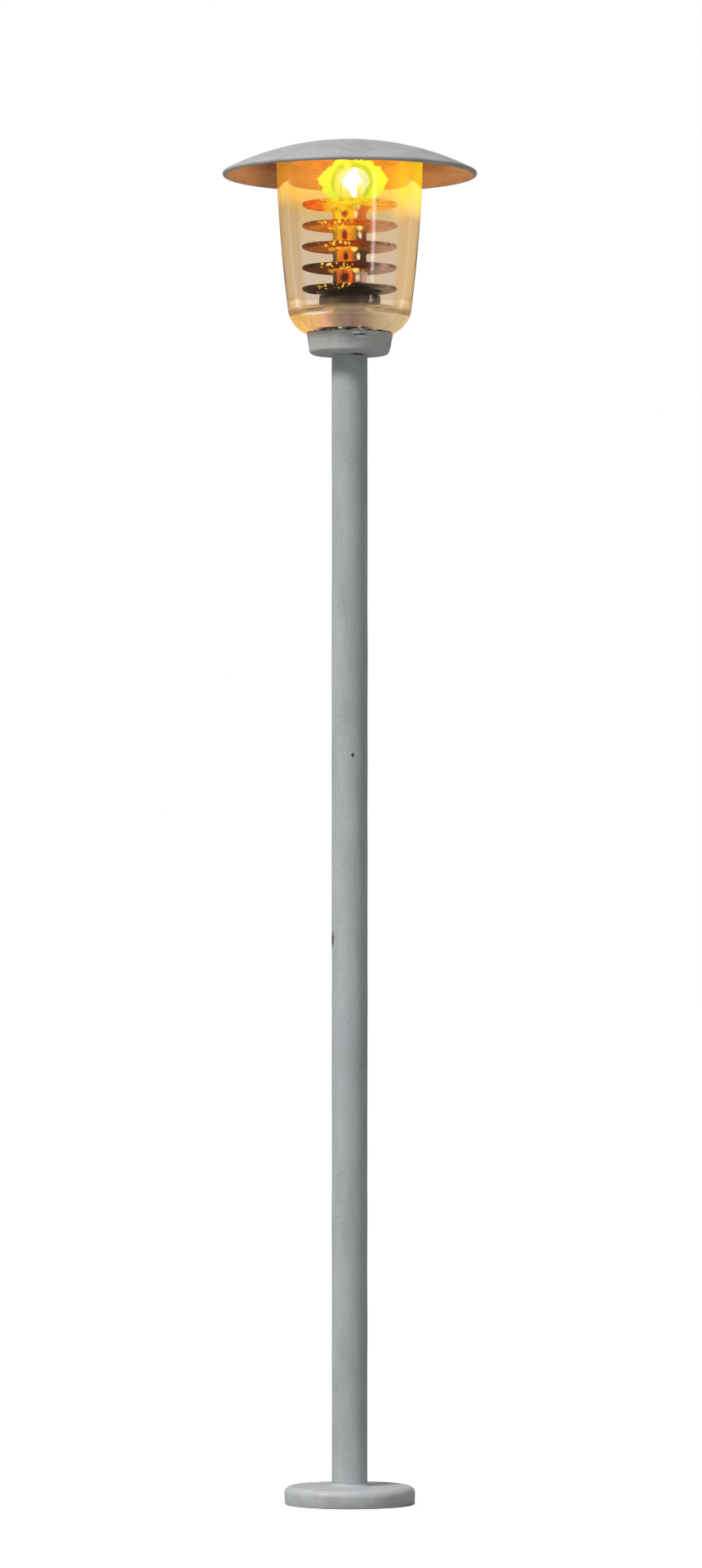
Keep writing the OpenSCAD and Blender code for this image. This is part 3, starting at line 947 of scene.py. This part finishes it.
def make_socket(material):
    """Bulb holder: a drum with an eased lip, a groove under it and the bulb's bore."""
    lip = 0.12
    drum_r = SOCKET_R - lip
    lip_z = SOCKET_TOP - lip
    groove = 0.05
    ease = 0.03
    profile = [(MAST_R, SOCKET_Z), (drum_r - ease, SOCKET_Z), (drum_r, SOCKET_Z + ease),
               (drum_r, lip_z - 3 * groove), (drum_r - groove, lip_z - 2 * groove),
               (drum_r - groove, lip_z - groove), (drum_r, lip_z)]
    profile += arc((SOCKET_R - lip / 2, SOCKET_TOP - lip / 2), lip / 2, -90, 90, 8)
    profile += [(BULB_R + 0.06, SOCKET_TOP), (BULB_R + 0.03, SOCKET_TOP - ease),
                (BULB_R + 0.03, MAST_TOP), (MAST_R, MAST_TOP)]
    made = finish_mesh("bulb_socket_turned", turned(profile), 35)
    return hand_over(made, material, "mast", "socket_grey", "bulb_socket")


def make_louvre(number, material):
    """One louvre ring: thin, with a rounded edge and a shallow step round its bore."""
    low, high, reach = span(f"louvre_{number}")
    half = (high - low) / 2
    bore = BULB_R + 0.03
    step = 0.02
    profile = [(bore, low), (bore + 0.28, low), (bore + 0.32, low + step)]
    profile += steps_between((bore + 0.32, low + step), (reach - 0.35, low + step), 4)
    profile += [(reach - 0.3, low + step / 2)]
    profile += arc((reach - half, low + half), half, -80, 80, 8)
    profile += [(reach - 0.3, high - step / 2), (bore + 0.32, high - step), (bore + 0.28, high),
                (bore, high)]
    made = finish_mesh(f"louvre_ring_{number}", turned(profile, segments=96), 30)
    return hand_over(made, material, "louvre_stack", "smoked_louvre", f"louvre_{number}")


def make_spacer(number, material):
    """One clear bobbin: a flared foot and head, a narrow waist and a bead where it is widest."""
    low, high, reach = span(f"spacer_{number}")
    bore = BULB_R + 0.03
    waist = bore + 0.05
    height = high - low
    rows = 20
    profile = [(bore, low)]
    for i in range(rows + 1):
        t = i / rows
        flare = abs(2 * t - 1) ** 2.4
        profile.append((waist + (reach - waist) * flare, low + height * t))
    profile.append((bore, high))
    made = finish_mesh(f"spacer_bobbin_{number}", turned(profile, segments=96), 30)
    return hand_over(made, material, "louvre_stack", "clear_spacer", f"spacer_{number}")


def make_bulb(material):
    """Bulb: a blown tube with a round dome and the small tip where it was sealed."""
    inner = BULB_R - BULB_WALL
    profile = [(BULB_R - 0.02, BULB_Z), (BULB_R, BULB_Z + 0.03)]
    profile += steps_between((BULB_R, BULB_Z + 0.03), (BULB_R, FILAMENT_Z), 12)
    profile += arc((0, FILAMENT_Z), BULB_R, 0, 90, 16)
    profile += arc((0, FILAMENT_Z), inner, 90, 0, 16)
    profile += [(inner, BULB_Z)]
    made = finish_mesh("bulb_envelope_blown", turned(profile, segments=72), 40)
    return hand_over(made, material, "bulb", "bulb_glass", "bulb_envelope")


def make_stem(material):
    """Glass stem: the pinched bead that holds the support wires, melted round at the top."""
    low, high, reach = span("bulb_stem")
    profile = [(0, low), (reach - 0.01, low)]
    profile += steps_between((reach - 0.01, low), (reach - 0.01, high - 0.3), 3)
    profile += arc((reach - 0.16, high - 0.3), 0.15, 0, 60, 5)
    profile += [(0.25, high - 0.04), (0, high)]
    made = finish_mesh("bulb_stem_melted", turned(profile, closed=False, segments=64), 60)
    return hand_over(made, material, "bulb", "bulb_glass", "bulb_stem")


def make_filament(material):
    """Filament: a coil of fine wire strung between the two support wires."""
    low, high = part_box("filament")
    turns = 9
    wire_r = 0.014
    coil_r = (high.z - low.z) / 2 / MM - wire_r
    half = (high.x - low.x) / 2 / MM - 0.05
    count = turns * 16
    points = []
    for i in range(count + 1):
        a = 2 * math.pi * i / 16
        x = -half + 2 * half * i / count
        points.append(Vector((x, coil_r * math.cos(a), FILAMENT_Z + coil_r * math.sin(a))))
    made = finish_mesh("filament_coil", swept(points, wire_r, 8), 60)
    return hand_over(made, material, "bulb", "tungsten", "filament")


def make_support(side, material):
    """Support wire: straight up from the solder, bent inward at the top to hook the filament."""
    name = "right" if side > 0 else "left"
    low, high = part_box(f"support_wire_{name}")
    x = (low.x + high.x) / 2 / MM
    radius = (high.x - low.x) / 2 / MM - 0.008
    bottom = low.z / MM
    top = high.z / MM
    bend = 0.07
    points = [Vector((x, 0, bottom + (top - bend - bottom) * i / 24)) for i in range(25)]
    for i in range(1, 9):
        a = math.pi / 2 * i / 8
        points.append(Vector((x - side * bend * (1 - math.cos(a)), 0, top - bend + bend * math.sin(a))))
    made = finish_mesh(f"support_wire_hooked_{name}", swept(points, radius, 12), 60)
    return hand_over(made, material, "bulb", "bulb_wire", f"support_wire_{name}")


def make_solder(material):
    """Solder joints: two drops that have run down the twisted wire ends."""
    low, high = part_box("solder_joints")
    bottom = low.z / MM
    top = high.z / MM
    middle = (bottom + top) / 2
    radius = (high.y - low.y) / 2 / MM
    offset = (high.x - low.x) / 2 / MM - radius
    bm = bmesh.new()
    for side in (-1, 1):
        profile = [(0, bottom), (radius * 0.72, bottom + 0.02), (radius, middle - 0.05),
                   (radius * 0.98, middle + 0.03), (radius * 0.6, top - 0.03), (0, top)]
        drop = turned(profile, closed=False, segments=24)
        bmesh.ops.translate(drop, vec=(side * offset, 0, 0), verts=drop.verts)
        join(bm, drop)
    made = finish_mesh("solder_drops", bm, 70)
    return hand_over(made, material, "bulb", "solder", "solder_joints")


def make_roof(paint, metal_inside):
    """Roof: a shallow spun dome with a half-round rim, and the ring that seats it on the glass."""
    sphere_r = (ROOF_R ** 2 + ROOF_RISE ** 2) / (2 * ROOF_RISE)
    centre_z = ROOF_TOP - sphere_r
    rim_r = ROOF_R - ROOF_WALL / 2
    rim_angle = math.degrees(math.acos(rim_r / (sphere_r - ROOF_WALL / 2)))
    a = math.radians(rim_angle)
    rim = ((sphere_r - ROOF_WALL / 2) * math.cos(a), centre_z + (sphere_r - ROOF_WALL / 2) * math.sin(a))
    shell = arc((0, centre_z), sphere_r, 90, rim_angle, 40)
    shell += arc(rim, ROOF_WALL / 2, rim_angle - 15, rim_angle - 165, 9)
    shell += arc((0, centre_z), sphere_r - ROOF_WALL, rim_angle, 90, 40)
    bm = turned(shell, closed=False, segments=160, warp=rough(0.02, 0.35, 2.0))

    def mid_z(r):
        return centre_z + math.sqrt((sphere_r - ROOF_WALL / 2) ** 2 - r * r)

    seat_r = GLASS_R - 0.02
    spigot_r = GLASS_R - GLASS_WALL - 0.03
    bore_r = spigot_r - SPIGOT_WALL
    ring = [(seat_r, GLASS_RIM), (seat_r, mid_z(seat_r)), (bore_r, mid_z(bore_r)),
            (bore_r, GLASS_RIM - SPIGOT_DEPTH + 0.03), (bore_r + 0.03, GLASS_RIM - SPIGOT_DEPTH),
            (spigot_r - 0.03, GLASS_RIM - SPIGOT_DEPTH), (spigot_r, GLASS_RIM - SPIGOT_DEPTH + 0.03),
            (spigot_r, GLASS_RIM)]
    join(bm, turned(ring, segments=160))
    made = finish_mesh("roof_spun", bm, 40)
    made.data.materials.append(paint)
    made.data.materials.append(metal_inside)
    for face in made.data.polygons:
        middle = face.center / MM
        shell_r = (middle - Vector((0, 0, centre_z))).length
        on_rim = math.hypot(middle.x, middle.y) > ROOF_R - 0.16
        below = shell_r < sphere_r - ROOF_WALL * 0.75 and not on_rim
        face.material_index = 1 if below else 0
    return hand_over(made, None, "roof", "roof_enamel", "roof")


def make_glow(name, reach, lumps, scale, material, side, squash, rays):
    """A ball of light round the filament, with an uneven outline and pointed rays.

    Each ray is a direction with how much of the ball's radius it adds."""
    bm = bmesh.new()
    bmesh.ops.create_icosphere(bm, subdivisions=6, radius=1.0)
    centre = Vector((side, 0, FILAMENT_Z))
    for vert in bm.verts:
        way = vert.co.normalized()
        stretch = 1 + lumps * noise.fractal(way * scale + Vector((7.3, 1.1, 4.2)), 0.9, 2.1, 3)
        for ray, gain in rays:
            stretch += gain * max(0.0, way.dot(Vector(ray).normalized())) ** RAY_SHARPNESS
        vert.co = centre + reach * stretch * Vector((way.x, way.y, way.z * squash))
    made = finish_mesh(name, bm, 180)
    made.data.flip_normals()
    made.visible_shadow = False
    return hand_over(made, material, "bulb", "bulb_glass")


def dress_cad_nodes():
    """The wires inside the mast keep their CAD shape and get their materials."""
    finishes = {
        "insulating_sleeve": plastic("sleeve_black", (0.02, 0.02, 0.022), 0.45),
        "lead_core_left": metal("lead_copper", (0.85, 0.42, 0.22), 0.3),
        "lead_insulation_left": plastic("lead_white", (0.74, 0.73, 0.68), 0.35),
        "lead_insulation_right": plastic("lead_brown", (0.16, 0.06, 0.025), 0.35),
    }
    finishes["lead_core_right"] = finishes["lead_core_left"]
    for node, material in finishes.items():
        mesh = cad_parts[node].data
        mesh.materials.clear()
        mesh.materials.append(material)
        shade(mesh, 40)


# ---- stage ----

def make_camera():
    data = bpy.data.cameras.new("camera")
    data.lens = LENS
    data.sensor_width = SENSOR
    data.clip_start = 0.01
    data.clip_end = 10
    camera = bpy.data.objects.new("camera", data)
    bpy.context.scene.collection.objects.link(camera)
    eye = Vector((CAMERA_SIDE, -CAMERA_DISTANCE * LAMP_HEIGHT, EYE_HEIGHT * LAMP_HEIGHT))
    aim = Vector((CAMERA_SIDE, 0, AIM_HEIGHT * LAMP_HEIGHT))
    camera.location = eye
    camera.rotation_mode = "QUATERNION"
    camera.rotation_quaternion = (aim - eye).to_track_quat("-Z", "Y")
    bpy.context.scene.camera = camera


def seen_rays(tree):
    """1 for what is seen straight or through the glass and 0 for the light sent elsewhere."""
    path = add(tree, "LightPath").outputs
    return maths(tree, "MAXIMUM", path["Is Camera Ray"], path["Is Transmission Ray"])


def make_floor():
    """A pale floor, as white as the backdrop to the eye and greyer in the light it sends back."""
    bm = bmesh.new()
    bmesh.ops.create_circle(bm, cap_ends=True, segments=96, radius=FLOOR_R)
    floor = finish_mesh("floor", bm)
    made, tree = new_material("pale_floor")
    seen = seen_rays(tree)
    paper = add(tree, "BsdfDiffuse", Color=ramp(tree, seen, [(0.0, 0.35), (1.0, 0.8)]))
    shine = add(tree, "Emission", Color=(1, 1, 1, 1), Strength=times(tree, seen, 0.74))
    floor.data.materials.append(finished(made, add_shaders(tree, paper, shine)))
    floor.location.z = cad_low.z


def make_world():
    """A white backdrop that lights the object more softly than it looks."""
    world = bpy.data.worlds.new("backdrop")
    world.use_nodes = True
    tree = world.node_tree
    tree.nodes.clear()
    output = tree.nodes.new("ShaderNodeOutputWorld")
    seen = seen_rays(tree)
    ambient = add(tree, "MapRange", Value=seen, To_Min=AMBIENT, To_Max=1.0)
    back = add(tree, "Background", Color=(1, 1, 1, 1), Strength=ambient)
    put(tree, output.inputs[0], back)
    bpy.context.scene.world = world


def aim_at(light, point):
    light.rotation_mode = "QUATERNION"
    light.rotation_quaternion = (point - light.location).to_track_quat("-Z", "Y")


def around(azimuth, elevation, distance, height):
    """A place round the mast. Azimuth 0 is the camera's side and grows to the right."""
    a = math.radians(azimuth)
    e = math.radians(elevation)
    flat = distance * math.cos(e)
    return Vector((flat * math.sin(a), -flat * math.cos(a), height + distance * math.sin(e)))


def make_lamp(name, place, power, size, height=None, target=0.5):
    """An area lamp that the camera and the glass do not see, aimed at a share of the height."""
    data = bpy.data.lights.new(name, "AREA")
    data.energy = power
    data.shape = "RECTANGLE" if height else "DISK"
    data.size = size
    if height:
        data.size_y = height
    lamp = bpy.data.objects.new(name, data)
    bpy.context.scene.collection.objects.link(lamp)
    lamp.location = place
    aim_at(lamp, Vector((0, 0, target * LAMP_HEIGHT)))
    lamp.visible_camera = False
    lamp.visible_transmission = False
    return lamp


def make_lights():
    make_lamp("key", around(KEY_AZIMUTH, KEY_ELEVATION, KEY_DISTANCE, 0), KEY_POWER, KEY_SIZE)
    place = around(STRIP_AZIMUTH, 0, STRIP_DISTANCE, 0.05)
    strip = make_lamp("strip", place, STRIP_POWER, *STRIP_SIZE, STRIP_AIM)
    strip.visible_diffuse = False


def make_bulb_light(carrier):
    """The light of the filament itself. It rides with the bulb."""
    data = bpy.data.lights.new("bulb_light", "POINT")
    data.energy = BULB_POWER
    data.color = BULB_COLOUR
    data.shadow_soft_size = 0.25 * MM
    lamp = bpy.data.objects.new("bulb_light", data)
    bpy.context.scene.collection.objects.link(lamp)
    lamp.location = (0, 0, FILAMENT_Z * MM)
    lamp.visible_camera = False
    lamp.visible_transmission = False
    lamp.parent = carrier


# ---- assembly ----

def make_lantern():
    make_glass(shade_glass())
    make_socket(socket_plastic())
    smoked = smoked_plastic()
    for number in LOUVRES:
        make_louvre(number, smoked)
    spacer_glow = spacer_painted_glow()
    for number in SPACERS:
        make_spacer(number, spacer_glow)
    grey = enamel("roof_enamel", (0.405, 0.405, 0.4), brush=0.3)
    make_roof(grey, roof_underside())


def make_lit_bulb():
    glass = bulb_glass()
    envelope = make_bulb(glass)
    make_stem(plastic("stem_glass", (0.62, 0.5, 0.3), 0.2))
    make_filament(hot_wire())
    # the support wires carry a faint painted red glow
    wire = metal("bulb_wire", (0.7, 0.32, 0.16), 0.3, (0.12, 0.02, 0.0))
    make_support(-1, wire)
    make_support(1, wire)
    make_solder(metal("solder", (0.7, 0.7, 0.72), 0.35))
    for glow_name, shape, reach, lumps, scale, side, squash, rays, *light in GLOWS:
        shine = glow(glow_name, *light)
        make_glow(f"{glow_name}_{shape}", reach, lumps, scale, shine, side, squash, rays)
    make_bulb_light(envelope)


def make_post():
    grey = (0.405, 0.43, 0.43)
    black = (0.01, 0.01, 0.012)
    pit = ((0.14, -0.74, 31.2), (0.07, 0.3, 0.09), black)
    scar = ((-0.72, -0.2, 23.5), (0.1, 0.3, 0.3), (0.08, 0.08, 0.085))
    gap = ((0.34, -0.66, COLLAR_Z), (0.3, 0.3, 0.09), black)
    mast_paint = enamel("mast_enamel", grey, (1, 1, 4), marks=(pit, scar, gap))
    make_foot(enamel("foot_enamel", (0.47, 0.48, 0.487), dull=0.7))
    make_mast(mast_paint)
    scratch = ((0.42, -1.7, COLLAR_TOP - 0.2), (0.34, 0.4, 0.05), (0.05, 0.05, 0.05))
    # the pale dabs beside the scratch are painted highlight on a lump of paint
    highlight_dab = ((0.25, -1.7, COLLAR_TOP - 0.13), (0.2, 0.4, 0.05), (0.85, 0.86, 0.84))
    run = ((0.5, -1.7, COLLAR_TOP - 0.27), (0.2, 0.4, 0.04), (0.8, 0.81, 0.79))
    make_collar(enamel("collar_enamel", (0.485, 0.495, 0.47), brush=1.0, marks=(scratch, highlight_dab, run)))
    make_glue(glue())


bpy.context.scene.view_settings.view_transform = "Standard"
make_camera()
make_floor()
make_world()
make_lights()
make_post()
make_lantern()
make_lit_bulb()
dress_cad_nodes()
